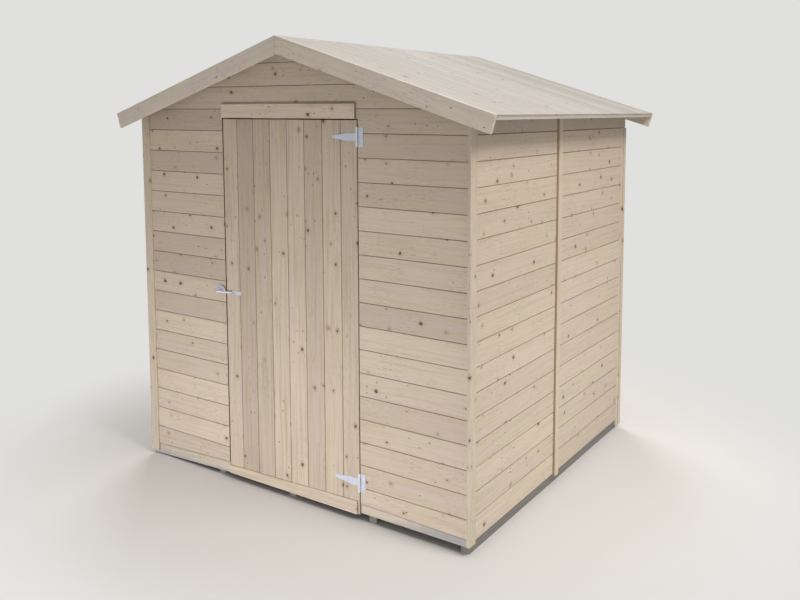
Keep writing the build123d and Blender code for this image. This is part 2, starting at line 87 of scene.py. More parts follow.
def sawn(cad_node, material, body, first, wear=0.0015):
    """A node's timbers as they leave the saw, numbered from first, with worn edges. The grain of
    each runs along its longest edge: a point p gets (p along, p across, p through), measured from
    the timber's middle on that edge, on the widest face and square to it. A face that lies across
    the grain is a sawn end."""
    shape = bmesh.new()
    shape.from_mesh(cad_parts[cad_node].data)
    bmesh.ops.remove_doubles(shape, verts=shape.verts, dist=1e-5)
    bmesh.ops.dissolve_limit(shape, angle_limit=FLAT_ANGLE, verts=shape.verts, edges=shape.edges)
    mesh = bpy.data.meshes.new("sawn_" + cad_node)
    shape.to_mesh(mesh)
    shape.free()
    place = read(mesh.vertices, "co", np.float32, 3)
    edges = read(mesh.edges, "vertices", np.int32, 2)
    normals = read(mesh.polygons, "normal", np.float32, 3)
    areas = read(mesh.polygons, "area", np.float32)
    corners = read(mesh.loops, "vertex_index", np.int32)
    first_corners = corners[read(mesh.polygons, "loop_start", np.int32)]
    spans = place[edges[:, 1]] - place[edges[:, 0]]
    lengths = np.linalg.norm(spans, axis=1)
    timber_of = timber_numbers(edges, len(place))
    timber_of_face = timber_of[first_corners]
    grain = np.empty_like(place)
    cut = np.zeros(len(mesh.polygons))
    for k in range(timber_of.max() + 1):
        mine, my_faces = timber_of == k, timber_of_face == k
        longest = np.argmax(np.where(mine[edges[:, 0]], lengths, 0))
        along = spans[longest] / lengths[longest]
        through = normals[np.argmax(np.where(my_faces, areas, 0))]
        across = np.cross(through, along)
        local = place[mine] - place[mine].mean(0)
        grain[mine] = np.stack([local @ along, local @ across, local @ through], axis=1)
        cut[my_faces] = np.abs(normals[my_faces] @ along) > END_FACING
    add_attribute(mesh, "grain", "FLOAT_VECTOR", grain)
    add_attribute(mesh, "number", "FLOAT", first + timber_of)
    add_attribute(mesh, "end", "FLOAT", cut, "FACE")
    mesh.materials.append(material)
    made = bpy.data.objects.new("sawn_" + cad_node, mesh)
    bpy.context.scene.collection.objects.link(made)
    worn = made.modifiers.new("worn_edges", "BEVEL")
    worn.width = wear
    worn.segments = 2
    worn.limit_method = "ANGLE"
    worn.angle_limit = EDGE_ANGLE
    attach(made, body)
    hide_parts(cad_node)


def node(tree, kind, inputs=None, **settings):
    """Adds a shader node. An input is a constant, or the output of another node to link."""
    made = tree.nodes.new(kind)
    for key, value in settings.items():
        setattr(made, key, value)
    for key, value in (inputs or {}).items():
        if isinstance(value, bpy.types.NodeSocket):
            tree.links.new(value, made.inputs[key])
        else:
            made.inputs[key].default_value = value
    return made


def calc(tree, operation, *terms):
    """A Math node's output."""
    return node(tree, "ShaderNodeMath", dict(enumerate(terms)), operation=operation).outputs[0]


def mapped(tree, value, start, stop, low=0.0, high=1.0, ease="LINEAR"):
    """low where the value is at start, high where it is at stop, and between them in a straight line
    or, with the ease SMOOTHSTEP, gently at both ends."""
    ends = {"Value": value, "From Min": start, "From Max": stop, "To Min": low, "To Max": high}
    return node(tree, "ShaderNodeMapRange", ends, interpolation_type=ease).outputs[0]


def mixed(tree, share, under, over, how="MIX"):
    """The colour under, with that share of the colour over on it."""
    colors = [c if isinstance(c, bpy.types.NodeSocket) else (*c, 1) for c in (under, over)]
    inputs = {"Factor": share, 6: colors[0], 7: colors[1]}
    return node(tree, "ShaderNodeMix", inputs, data_type="RGBA", blend_type=how).outputs[2]


def point(tree, x, y, z=0.0):
    """A vector from three numbers."""
    return node(tree, "ShaderNodeCombineXYZ", {0: x, 1: y, 2: z}).outputs[0]


def noise(tree, where, scale, detail, rough=0.5, dimensions="3D"):
    """Smooth noise about 0.5, with this many waves a metre."""
    inputs = {"Vector": where, "Scale": scale, "Detail": detail, "Roughness": rough}
    return node(tree, "ShaderNodeTexNoise", inputs, noise_dimensions=dimensions).outputs[0]


def cells(tree, where, scale):
    """Cells in the plane, this many a metre: the distance from a cell's middle, and its three lots
    from 0 to 1."""
    inputs = {"Vector": where, "Scale": scale}
    made = node(tree, "ShaderNodeTexVoronoi", inputs, voronoi_dimensions="2D").outputs
    return made["Distance"], *node(tree, "ShaderNodeSeparateColor", {0: made["Color"]}).outputs


def lots(tree, number):
    """Three lots from 0 to 1, which every timber draws for itself by its number."""
    drawn = node(tree, "ShaderNodeTexWhiteNoise", {"W": number}, noise_dimensions="1D")
    return node(tree, "ShaderNodeSeparateColor", {0: drawn.outputs["Color"]}).outputs


def effect(name, inputs, outputs):
    """A node group with named sockets and nothing in it yet, and what a material gives to it."""
    tree = bpy.data.node_groups.new(name, "ShaderNodeTree")
    for in_out, sockets in (("INPUT", inputs), ("OUTPUT", outputs)):
        for socket, kind in sockets.items():
            tree.interface.new_socket(name=socket, in_out=in_out, socket_type="NodeSocket" + kind)
    return tree, tree.nodes.new("NodeGroupInput").outputs


# knots and specks lie in cells, so many to a metre, and a knot's radius is a share of its cell
KNOT_CELLS = 8.0
KNOT_RADIUS = (0.024, 0.072)
KNOT_HEART = (0.175, 0.105, 0.05)
KNOT_RIM = (0.085, 0.055, 0.03)
KNOT_STAIN = (0.42, 0.32, 0.21)
SPECK_CELLS = 34.0
SPECK_STRETCH = (0.6, 1.0, 1.0)
SPECK_BROWN = (0.18, 0.11, 0.06)
RINGS_A_METRE = 250.0
TORN_BROWN = (0.30, 0.22, 0.145)
JOINT_BROWN = (0.25, 0.145, 0.08)
END_DARKENING = (0.64, 0.53, 0.46)


def softwood_group():
    """Softwood in the solid. Growth rings lie round a pith that each timber has at its own place, so
    its faces show arches, its edges lines and its ends arcs. Over them come broad streaks, fine
    fibres, short torn marks, knots and small specks."""
    inputs = {
        "Grain": "Vector",
        "Number": "Float",
        "Pale": "Color",
        "Streak": "Color",
        "Grey": "Color",
        "Knot Share": "Float",
        "Variation": "Float",
        "Joint": "Float",
        "End": "Float",
        "Age And Shade": "Float",
    }
    outputs = {"Color": "Color", "Roughness": "Float", "Height": "Float"}
    tree, given = effect("softwood", inputs, outputs)
    along, wide, deep = node(tree, "ShaderNodeSeparateXYZ", {0: given["Grain"]}).outputs
    number, variation = given["Number"], given["Variation"]
    light_lot, grey_lot = lots(tree, number)[:2]
    pith_wide, pith_deep, pith_lean = lots(tree, calc(tree, "ADD", number, 0.37))
    face = calc(tree, "ADD", wide, deep)
    moved = calc(tree, "MULTIPLY_ADD", number, 13.7, along)
    aside = calc(tree, "MULTIPLY_ADD", number, 7.3, face)

    # knots: a share of the cells carries one. reach is the distance from its ragged edge
    spot = point(tree, calc(tree, "MULTIPLY", moved, 0.85), aside)
    ragged = noise(tree, spot, 110.0, 2.0, dimensions="2D")
    distance, lot, size, kind = cells(tree, spot, KNOT_CELLS)
    picked = calc(tree, "LESS_THAN", lot, given["Knot Share"])
    radius = mapped(tree, size, 0.0, 1.0, *KNOT_RADIUS)
    reach = calc(tree, "MULTIPLY_ADD", ragged, 0.05, distance)
    reach = calc(tree, "SUBTRACT", reach, radius)
    core = mapped(tree, reach, 0.038, 0.010, ease="SMOOTHSTEP")
    core = calc(tree, "MULTIPLY", core, picked)
    rim = mapped(tree, reach, -0.012, 0.016)
    halo = mapped(tree, reach, 0.17, 0.0, ease="SMOOTHSTEP")
    halo = calc(tree, "MULTIPLY", halo, picked)

    # specks: smaller, and longer than wide. In places they crowd together
    longer = {0: spot, 1: SPECK_STRETCH}
    longer = node(tree, "ShaderNodeVectorMath", longer, operation="MULTIPLY").outputs[0]
    distance, lot, size, _ = cells(tree, longer, SPECK_CELLS)
    crowd = noise(tree, spot, 3.1, 0.0, dimensions="2D")
    crowd = mapped(tree, crowd, 0.46, 0.72, 0.006, 0.17)
    speck = calc(tree, "MULTIPLY_ADD", ragged, 0.06, distance)
    speck = calc(tree, "SUBTRACT", speck, calc(tree, "MULTIPLY", size, 0.09))
    speck = mapped(tree, speck, 0.085, 0.03)
    speck_picked = calc(tree, "LESS_THAN", lot, calc(tree, "MULTIPLY", crowd, variation))
    speck = calc(tree, "MULTIPLY", speck, speck_picked)

    # rings: distance from the pith line, which leans and wavers and is pushed aside by knots
    drift = noise(tree, point(tree, moved, calc(tree, "MULTIPLY", face, 3.0), number), 1.7, 1.5)
    drift = calc(tree, "MULTIPLY_ADD", drift, 0.03, calc(tree, "MULTIPLY", halo, 0.006))
    off_wide = calc(tree, "MULTIPLY_ADD", calc(tree, "SUBTRACT", pith_wide, 0.5), 0.13, wide)
    off_wide = calc(tree, "ADD", off_wide, drift)
    lean = calc(tree, "MULTIPLY", calc(tree, "SUBTRACT", pith_lean, 0.5), 0.035)
    lean = calc(tree, "MULTIPLY", lean, along)
    off_deep = calc(tree, "MULTIPLY_ADD", pith_deep, 0.07, calc(tree, "ADD", deep, 0.02))
    off_deep = calc(tree, "ADD", off_deep, lean)
    off = [calc(tree, "MULTIPLY", side, side) for side in (off_wide, off_deep)]
    from_pith = calc(tree, "SQRT", calc(tree, "ADD", *off))
    uneven = calc(tree, "MULTIPLY", ragged, 0.25)
    ring = calc(tree, "FRACT", calc(tree, "MULTIPLY_ADD", from_pith, RINGS_A_METRE, uneven))
    late = mapped(tree, ring, 0.35, 0.95, ease="SMOOTHSTEP")

    # streaks and fibres, long along the grain, and short marks where the planer tore it
    bent = calc(tree, "MULTIPLY_ADD", drift, 1.2, face)

    def drawn_out(length, width, across=bent):
        """A place in the wood, scaled by length along the grain and by width across it."""
        length = moved if length == 1.0 else calc(tree, "MULTIPLY", moved, length)
        return point(tree, length, calc(tree, "MULTIPLY", across, width), number)

    streak = noise(tree, drawn_out(1.0, 34.0), 2.0, 5.0, 0.62)
    streak = mapped(tree, streak, 0.47, 0.68)
    fibre = noise(tree, drawn_out(9.0, 520.0), 1.0, 2.0)
    torn = mapped(tree, noise(tree, drawn_out(26.0, 300.0), 1.0, 1.0), 0.58, 0.72)
    torn_here = noise(tree, spot, 5.3, 1.0, dimensions="2D")
    torn = calc(tree, "MULTIPLY", torn, mapped(tree, torn_here, 0.42, 0.62, 0.05, 0.6))

    # colour: pale to grey by timber, then streaks, rings and the wood drawn round a knot
    grey = calc(tree, "MULTIPLY", grey_lot, grey_lot)
    grey = calc(tree, "MULTIPLY", grey, calc(tree, "MULTIPLY", variation, 0.25))
    # Age And Shade is mill tone, and on the side top boards painted shade from the eaves
    grey = calc(tree, "MULTIPLY_ADD", given["Age And Shade"], 0.45, grey)
    plain = mixed(tree, grey, given["Pale"], given["Grey"])
    lined = calc(tree, "MULTIPLY", late, 0.08)
    lined = calc(tree, "ADD", calc(tree, "MULTIPLY", streak, 0.52), lined)
    lined = calc(tree, "ADD", lined, calc(tree, "MULTIPLY", halo, 0.30))
    wood = mixed(tree, lined, plain, given["Streak"])

    # faint pink and green patches, torn marks, and how light the timber and its fibres are
    patch = mapped(tree, noise(tree, drawn_out(1.4, 24.0, face), 1.0, 2.0), 0.35, 0.65)
    hue = mixed(tree, patch, (1.01, 0.985, 1.015), (0.98, 0.995, 0.925))
    wood = mixed(tree, 1.0, wood, hue, "MULTIPLY")
    wood = mixed(tree, torn, wood, TORN_BROWN)
    level = mapped(tree, light_lot, 0.0, 1.0, -0.05, 0.045)
    level = calc(tree, "MULTIPLY_ADD", level, variation, 1.0)
    level = calc(tree, "MULTIPLY", level, mapped(tree, fibre, 0.0, 1.0, 0.84, 1.14))
    wood = node(tree, "ShaderNodeVectorMath", {0: wood, "Scale": level}, operation="SCALE").outputs[0]

    # knots with a dark rim in a stained patch, some solid and some faint, then specks
    heart = mixed(tree, rim, KNOT_HEART, KNOT_RIM)
    wood = mixed(tree, calc(tree, "MULTIPLY", halo, 0.25), wood, KNOT_STAIN)
    solid = calc(tree, "MULTIPLY", core, mapped(tree, kind, 0.15, 0.5, 0.35, 0.97))
    wood = mixed(tree, solid, wood, heart)
    wood = mixed(tree, calc(tree, "MULTIPLY", speck, 0.85), wood, SPECK_BROWN)

    # the dark of a joint, and sawn ends, which are drawn darker
    wood = mixed(tree, calc(tree, "MULTIPLY", given["Joint"], 0.72), wood, JOINT_BROWN)
    wood = mixed(tree, given["End"], wood, mixed(tree, 1.0, wood, END_DARKENING, "MULTIPLY"))

    # relief: late wood lies lower than the fibres between, and knots stand out
    raised = calc(tree, "MULTIPLY_ADD", late, -0.5, fibre)
    raised = calc(tree, "ADD", raised, calc(tree, "MULTIPLY", core, 0.6))
    rough = mapped(tree, fibre, 0.0, 1.0, 0.62, 0.84)
    node(tree, "NodeGroupOutput", {"Color": wood, "Roughness": rough, "Height": raised})
    return tree


softwood = softwood_group()


RELIEF = 0.0006
SIDE_STAIN_AND_SHADE = (0.36, 0.25, 0.15)


def bare(name):
    """A new material, with its node tree and its shader."""
    made = bpy.data.materials.new(name)
    made.use_nodes = True
    return made, made.node_tree, made.node_tree.nodes["Principled BSDF"]


def carried_on(tree, name, output="Fac"):
    """What the mesh carries under this name."""
    return node(tree, "ShaderNodeAttribute", attribute_name=name).outputs[output]


def timber(name, pale, streak, grey, knots, variation=1.0, roughened=0.35, ends=1.0, stain_and_shade_from=None):
    """A softwood material, with its grain, timber number, joint shade, age and painted eaves shade,
    and sawn ends from the mesh's attributes. ends is how much darker its sawn ends are. Where a
    batten's narrow sides are drawn dark, partly as a stain and partly as painted shade,
    stain_and_shade_from is their distance from its middle."""
    made, tree, shader = bare(name)
    grain = carried_on(tree, "grain", "Vector")
    inputs = {
        "Grain": grain,
        "Number": carried_on(tree, "number"),
        "Pale": (*pale, 1),
        "Streak": (*streak, 1),
        "Grey": (*grey, 1),
        "Knot Share": knots,
        "Variation": variation,
        "Joint": carried_on(tree, "joint"),
        "End": calc(tree, "MULTIPLY", carried_on(tree, "end"), ends),
        "Age And Shade": carried_on(tree, "age_and_shade"),
    }
    wood = node(tree, "ShaderNodeGroup", inputs, node_tree=softwood).outputs
    color = wood["Color"]
    if stain_and_shade_from:
        across = node(tree, "ShaderNodeSeparateXYZ", {0: grain}).outputs[1]
        side = calc(tree, "GREATER_THAN", calc(tree, "ABSOLUTE", across), stain_and_shade_from)
        # the narrow sides' dark brown is partly a stain and partly painted shade
        color = mixed(tree, calc(tree, "MULTIPLY", side, 0.7), color, SIDE_STAIN_AND_SHADE)
    relief = {"Height": wood["Height"], "Strength": roughened, "Distance": RELIEF}
    tree.links.new(color, shader.inputs["Base Color"])
    tree.links.new(wood["Roughness"], shader.inputs["Roughness"])
    tree.links.new(node(tree, "ShaderNodeBump", relief).outputs[0], shader.inputs["Normal"])
    shader.inputs["Specular IOR Level"].default_value = 0.25
    return made


bearer_wood = timber(
    "bearer_wood",
    pale=(0.215, 0.20, 0.185),
    streak=(0.14, 0.13, 0.12),
    grey=(0.185, 0.18, 0.17),
    knots=0.08,
    roughened=0.8,
    ends=0.0,
)
sawn("floor_bearers", bearer_wood, "shed", 10.0, wear=0.003)

# Floor deck: 16 softwood boards from side to side, each lapped over its neighbour's edge and nailed
# down to the bearers. It is a little greyer than the walls, and shows through the open door.
BOARD_COVER = 0.112
BOARD_THICK = 0.012
BOARD_LAP = 0.008
BOARD_GAP = 0.0012
BOARD_FACE = 0.0048
TONGUE_PLAY = 0.0001
THICKNESS_SPREAD = 0.0004
FOOT_HEIGHT = 0.005
FLOOR_BOARDS = 16
FLOOR_BEVEL = 0.001
rng = np.random.default_rng(7)


def lapped_profile(low, high, below, above, kinks, bevel, thick=BOARD_THICK):
    """Section of a rebated board as rows (a, t, shade): a is the height from joint to joint and t
    the depth out from the back. The face has a small bevel at each joint. The back is moved up by
    the lap, so one board covers the next. kinks are further heights that get a row."""
    a0, a1 = low + BOARD_GAP / 2 * below, high - BOARD_GAP / 2 * above
    face = thick - rng.uniform(0.0, THICKNESS_SPREAD)
    step = BOARD_FACE * thick / BOARD_THICK
    tongue = step - TONGUE_PLAY
    inner = [k for k in kinks if a0 + bevel < k < a1 - bevel]
    rows = [(a0, face - bevel, 1.0), (a0 + bevel, face, 0.0), *[(k, face, 0.0) for k in inner]]
    rows += [(a1 - bevel, face, 0.0), (a1, face - bevel, 1.0)]
    if above:
        rows += [(a1, tongue, 1.0), (a1 + BOARD_LAP, tongue, 1.0), (a1 + BOARD_LAP, 0.0, 0.0)]
    else:
        rows += [(a1, 0.0, 0.0)]
    rows += [(k, 0.0, 0.0) for k in inner[::-1]]
    if below:
        rows += [(a0 + BOARD_LAP, 0.0, 0.0), (a0 + BOARD_LAP, step, 1.0), (a0, step, 1.0)]
    else:
        rows += [(a0, 0.0, 0.0)]
    return np.array(rows)


def carried(rows, ends, origin, along, across, out, number, age_and_shade=0.0, foot=(0.0, 0.0)):
    """A section carried along a straight line: point (s, a, t) lies at origin + s along + a across
    + t out. ends holds the s of each row at the two ends, so a cut end has its own s for each row.
    foot is the rise of the lowest rows at the two ends, and age_and_shade says how much darker and
    greyer the board is drawn: its tone from the mill, and on the side top boards painted shade from
    the eaves. Gives the vertices, the corners and counts of the faces, and what the mesh carries at
    each vertex."""
    along, across, out = (np.asarray(d, float) for d in (along, across, out))
    a, t, shade = rows.T
    count = len(rows)
    lowest = a < a.min() + FOOT_HEIGHT
    ring = np.asarray(origin, float) + np.outer(t, out)
    verts = np.concatenate(
        [ring + np.outer(ends[:, k], along) + np.outer(a + lowest * foot[k], across) for k in (0, 1)]
    )
    i = np.arange(count)
    j = (i + 1) % count
    sides = np.stack([i, j, j + count, i + count], axis=1)
    caps = np.stack([i[::-1], i + count])
    area = np.sum(a * np.roll(t, -1) - np.roll(a, -1) * t)
    if np.dot(np.cross(across, out), along) * area < 0:
        sides, caps = sides[:, ::-1], caps[:, ::-1]
    corners = np.concatenate([sides.ravel(), caps.ravel()])
    counts = np.array([4] * count + [count] * 2)
    grain = np.stack([ends.T.ravel(), np.tile(a, 2), np.tile(t, 2)], axis=1)
    numbers, ages_and_shades = np.full(2 * count, number), np.full(2 * count, age_and_shade)
    return verts, corners, counts, grain, numbers, np.tile(shade, 2), ages_and_shades


def faced(name, verts, corners, counts):
    """A mesh of flat faces. corners holds the vertex numbers of all faces one after another, and
    counts how many of them each face has."""
    mesh = bpy.data.meshes.new(name)
    mesh.vertices.add(len(verts))
    mesh.vertices.foreach_set("co", verts.astype(np.float32).ravel())
    mesh.loops.add(len(corners))
    mesh.loops.foreach_set("vertex_index", corners.astype(np.int32))
    mesh.polygons.add(len(counts))
    mesh.polygons.foreach_set("loop_start", (np.cumsum(counts) - counts).astype(np.int32))
    mesh.shade_flat()
    mesh.update(calc_edges=True)
    return mesh


def joined(name, cad_node, parts, material, body):
    """Joins boards, each as carried gives it, into one object that stands for a node of the part.
    The last two faces of a board are its ends."""
    verts, corners, counts, grain, numbers, shade, ages_and_shades = zip(*parts)
    starts = np.cumsum([0, *[len(v) for v in verts]])
    corners = np.concatenate([c + start for c, start in zip(corners, starts)])
    mesh = faced(name, np.concatenate(verts), corners, np.concatenate(counts))
    add_attribute(mesh, "grain", "FLOAT_VECTOR", np.concatenate(grain))
    add_attribute(mesh, "number", "FLOAT", np.concatenate(numbers))
    add_attribute(mesh, "joint", "FLOAT", np.concatenate(shade))
    add_attribute(mesh, "age_and_shade", "FLOAT", np.concatenate(ages_and_shades))
    caps = np.concatenate([np.arange(len(c)) >= len(c) - 2 for c in counts])
    add_attribute(mesh, "end", "FLOAT", caps, "FACE")
    mesh.materials.append(material)
    made = bpy.data.objects.new(name, mesh)
    bpy.context.scene.collection.objects.link(made)
    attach(made, body)
    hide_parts(cad_node)


floor_wood = timber(
    "floor_wood",
    pale=(0.52, 0.44, 0.34),
    streak=(0.39, 0.30, 0.21),
    grey=(0.44, 0.37, 0.31),
    knots=0.22,
)
low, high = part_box("floor_boards")
lines = np.linspace(low.y, high.y, FLOOR_BOARDS + 1)
parts = []
for k in range(FLOOR_BOARDS):
    section = lapped_profile(lines[k], lines[k + 1], k > 0, k < FLOOR_BOARDS - 1, [], FLOOR_BEVEL)
    ends = np.tile([low.x, high.x], (len(section), 1))
    parts.append(carried(section, ends, (0, 0, low.z), (1, 0, 0), (0, 1, 0), (0, 0, 1), 700.0 + k))
joined("boards_floor", "floor_boards", parts, floor_wood, "shed")

# Framing: sawn softwood studs, posts and rails behind the cladding, the beam and purlins under the
# roof boards, and the stops that the door shuts against. All are butted together and nailed.
frame_wood = timber(
    "frame_wood",
    pale=(0.62, 0.50, 0.36),
    streak=(0.45, 0.33, 0.21),
    grey=(0.52, 0.43, 0.33),
    knots=0.22,
    roughened=0.6,
)
for k, name in enumerate(
    (
        "left_studs",
        "right_studs",
        "left_rails",
        "right_rails",
        "front_posts",
        "back_posts",
        "front_rails",
        "back_rails",
        "gable_rafters",
        "ridge_beam",
        "purlins",
        "door_stops",
    )
):
    sawn(name, frame_wood, "shed", 20.0 + 12 * k, wear=0.0012)

# Wall cladding: rebated boards 12 mm thick, level, with a small V at every joint and 112 mm from
# joint to joint on lines that run round all the walls. They are nailed through to the framing.
# Over the doorway they cross the gable.
BOARD_DATUM = 0.166
LEAST_BOARD = 0.017
V_BEVEL = 0.0021
# boards leave this gap at a corner of the walls, which is further than this from the middle
END_GAP = 0.0012
NEAR_CORNER = 1.0
ROOF_PITCH = math.radians(17.3)
ROOF_FALL = math.tan(ROOF_PITCH)
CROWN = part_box("front_gable")[1].z
# the top board stays this far under the roof boards, and keeps this half length under the ridge
UNDER_ROOF = 0.0002
LEAST_HALF = 0.0005
# a panel's end nearer the middle than this lies under the ridge itself
NEAR_MIDDLE = 0.01
# how far the lowest boards beside the door rise at their left and right ends
LEFT_FOOT_RISE = (0.0, 0.024)
RIGHT_FOOT_RISE = (0.010, 0.0)
# from this height up, a board of the front is one timber over the doorway and both sides of it
UNBROKEN_FROM = 1.99 - BOARD_COVER
# lines of the boards that came from the mill darker than the rest
AGED_LINES = {
    "front_wall_left": (6, 8, 9, 13, 15),
    "front_wall_right": (3, 7, 12, 14),
    "front_gable": (15,),
}
cladding_wood = timber(
    "cladding_wood",
    pale=(0.635, 0.538, 0.432),
    streak=(0.49, 0.39, 0.295),
    grey=(0.47, 0.38, 0.325),
    knots=0.44,
    variation=1.1,
)


def board_lines(low, high):
    """Heights of the joints from low to high: both ends, and the common lines datum + k cover that
    leave at least the least board's height there."""
    first = math.ceil((low + LEAST_BOARD - BOARD_DATUM) / BOARD_COVER)
    last = math.floor((high - LEAST_BOARD - BOARD_DATUM) / BOARD_COVER)
    return [low, *[BOARD_DATUM + k * BOARD_COVER for k in range(first, last + 1)], high]


def gable_boards(cad_node, y, out, first, foot=(0.0, 0.0)):
    """Boards of a gable wall's panel, whose back lies at y. At height z they end at the panel's
    sides or under the roof, |x| = (crown - z) / fall. foot is the rise of the lowest board's lower
    edge over the panel's lowest point, at its left and right ends."""
    low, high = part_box(cad_node)
    left = low.x + END_GAP * (low.x < -NEAR_CORNER)
    right = high.x - END_GAP * (high.x > NEAR_CORNER)
    lines = board_lines(low.z, min(high.z, CROWN) - UNDER_ROOF)
    kinks = sorted(CROWN - ROOF_FALL * abs(x) for x in (low.x, high.x) if abs(x) > NEAR_MIDDLE)
    parts = []
    for k, (bottom, top) in enumerate(zip(lines, lines[1:])):
        section = lapped_profile(bottom, top, k > 0, k < len(lines) - 2, kinks, V_BEVEL)
        section[:, 0] = np.minimum(section[:, 0], lines[-1])
        roof = np.maximum(LEAST_HALF, (CROWN - section[:, 0]) / ROOF_FALL)
        ends = np.stack([np.maximum(left, -roof), np.minimum(right, roof)], axis=1)
        line = round((bottom - BOARD_DATUM) / BOARD_COVER)
        unbroken = bottom > UNBROKEN_FROM and out[1] < 0
        number = 150.0 + line + (0.0 if unbroken else first)
        age_and_shade = float(line in AGED_LINES.get(cad_node, ()))
        rise = foot if k == 0 else (0.0, 0.0)
        placed = ((0, y, 0), (1, 0, 0), (0, 0, 1), out)
        parts.append(carried(section, ends, *placed, number, age_and_shade, rise))
    joined("boards_" + cad_node, cad_node, parts, cladding_wood, "shed")


def side_boards(cad_node, sign, first):
    """Boards of a side panel, level from end to end. sign is that of x on its side."""
    low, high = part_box(cad_node)
    lines = board_lines(low.z, high.z)
    back = low.x if sign > 0 else high.x
    parts = []
    for k, (bottom, top) in enumerate(zip(lines, lines[1:])):
        section = lapped_profile(bottom, top, k > 0, k < len(lines) - 2, [], V_BEVEL)
        ends = np.tile([low.y + END_GAP, high.y - END_GAP], (len(section), 1))
        placed = ((back, 0, 0), (0, 1, 0), (0, 0, 1), (sign, 0, 0))
        parts.append(carried(section, ends, *placed, first + k))
    joined("boards_" + cad_node, cad_node, parts, cladding_wood, "shed")


front_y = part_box("front_gable")[1].y
back_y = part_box("back_wall_left")[0].y
gable_boards("front_wall_left", front_y, (0, -1, 0), 40.0, LEFT_FOOT_RISE)
gable_boards("front_wall_right", front_y, (0, -1, 0), 80.0, RIGHT_FOOT_RISE)
gable_boards("front_gable", front_y, (0, -1, 0), 40.0)
gable_boards("back_wall_left", back_y, (0, 1, 0), 120.0)
gable_boards("back_wall_right", back_y, (0, 1, 0), 160.0)
side_boards("left_wall_front", -1, 400.0)
side_boards("left_wall_rear", -1, 430.0)
side_boards("right_wall_front", 1, 460.0)
side_boards("right_wall_rear", 1, 490.0)

# Top boards: one long board along each side, over both panels and up under the roof boards. It is
# of the same softwood, drawn darker and greyer than the rest as painted shade from the eaves, and
# nailed to the panels' top rails.
TOP_BOARD_PAINTED_SHADE = 1.5
low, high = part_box("side_top_boards")
parts = []
for sign in (-1, 1):
    section = lapped_profile(low.z + BOARD_GAP, high.z, False, False, [], 2 * V_BEVEL)
    ends = np.tile([low.y, high.y], (len(section), 1))
    placed = ((sign * (high.x - BOARD_THICK), 0, 0), (0, 1, 0), (0, 0, 1), (sign, 0, 0))
    # the top boards' darker tone is painted shade from the eaves' overhang
    parts.append(carried(section, ends, *placed, 520.0 + sign, TOP_BOARD_PAINTED_SHADE))
joined("boards_side_top", "side_top_boards", parts, cladding_wood, "shed")

# Nails: small round steel heads, here and there brown with rust. They are driven just proud of the
# boards, in pairs wherever a board crosses a post or stud, and none quite in line.
NAIL_RADIUS = 0.0019
NAIL_SIDES = 8
NAIL_INSET = 0.024
NAIL_STRAY = 0.003
# the studs' places along the sides, and the posts' across the front and the back
STUD_LINES = (-0.846, -0.451, 0.421, 0.843)
HINGE_POST = 0.470
FRONT_POST_LINES = (-0.972, -0.452, HINGE_POST, 1.018)
BACK_POST_LINES = (-1.016, -0.521, -0.036, 0.036, 0.521, 1.016)
# the front's and the back's faces from the middle, and the feet and the top of the rows of nails
WALL_FACE = 0.910
SIDE_FOOT, FRONT_FOOT, BACK_FOOT = 0.056, 0.082, 0.038
LAST_NAILS = 1.95
# a hinge's plate takes the place of the nails on its post
HINGE_HEIGHTS = (0.190, 1.829)
PLATE_HALF_HEIGHT = 0.06
NAIL_GREY = (0.40, 0.36, 0.31)
RUST_BROWN = (0.21, 0.125, 0.075)

steel, tree, shader = bare("nail_steel")
where = node(tree, "ShaderNodeTexCoord").outputs["Object"]
rust = mapped(tree, noise(tree, where, 45.0, 3.0), 0.45, 0.65)
tree.links.new(mixed(tree, rust, NAIL_GREY, RUST_BROWN), shader.inputs["Base Color"])
tree.links.new(mapped(tree, rust, 0.0, 1.0, 0.45, 0.8), shader.inputs["Roughness"])
shader.inputs["Metallic"].default_value = 0.4


def studded(points, out, profile, sides):
    """Turned heads at many points. Each is the profile (r, h) turned round out: vertex = point + r
    cos u p + r sin u q + h out, with p and q square to out and u in equal steps. The first and last
    rows have r = 0 and close it. Gives the vertices, and the corners and counts of the faces."""
    out = np.asarray(out, float)
    p = np.cross(out, (0, 0, 1) if abs(out[2]) < 0.9 else (1, 0, 0))
    p /= np.linalg.norm(p)
    q = np.cross(out, p)
    r, h = np.asarray(profile, float).T
    u = np.arange(sides) * 2 * np.pi / sides
    ring = np.outer(np.cos(u), p) + np.outer(np.sin(u), q)
    grid = r[1:-1, None, None] * ring[None] + h[1:-1, None, None] * out
    head = np.concatenate([[h[0] * out], grid.reshape(-1, 3), [h[-1] * out]])
    bands = len(r) - 3
    i = 1 + np.arange(sides)
    j = 1 + (np.arange(sides) + 1) % sides
    down = sides * np.arange(bands)[:, None]
    band = np.stack([i + down, i + down + sides, j + down + sides, j + down], axis=2)
    top = np.stack([np.zeros_like(i), i, j], axis=1)
    foot = np.stack([i + bands * sides, np.full_like(i, len(head) - 1), j + bands * sides], axis=1)
    corners = np.concatenate([top.ravel(), band.ravel(), foot.ravel()])
    corners = (corners + len(head) * np.arange(len(points))[:, None]).ravel()
    counts = np.tile([3] * sides + [4] * sides * bands + [3] * sides, len(points))
    verts = (np.asarray(points, float)[:, None, :] + head[None]).reshape(-1, 3)
    return verts, corners, counts


def fastened(name, sets, profile, sides, material, body):
    """Joins heads driven in several directions: sets holds pairs (points, direction out)."""
    verts, corners, counts = zip(*[studded(points, out, profile, sides) for points, out in sets])
    starts = np.cumsum([0, *[len(v) for v in verts]])
    corners = np.concatenate([c + start for c, start in zip(corners, starts)])
    mesh = faced(name, np.concatenate(verts), corners, np.concatenate(counts))
    mesh.materials.append(material)
    made = bpy.data.objects.new(name, mesh)
    bpy.context.scene.collection.objects.link(made)
    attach(made, body)


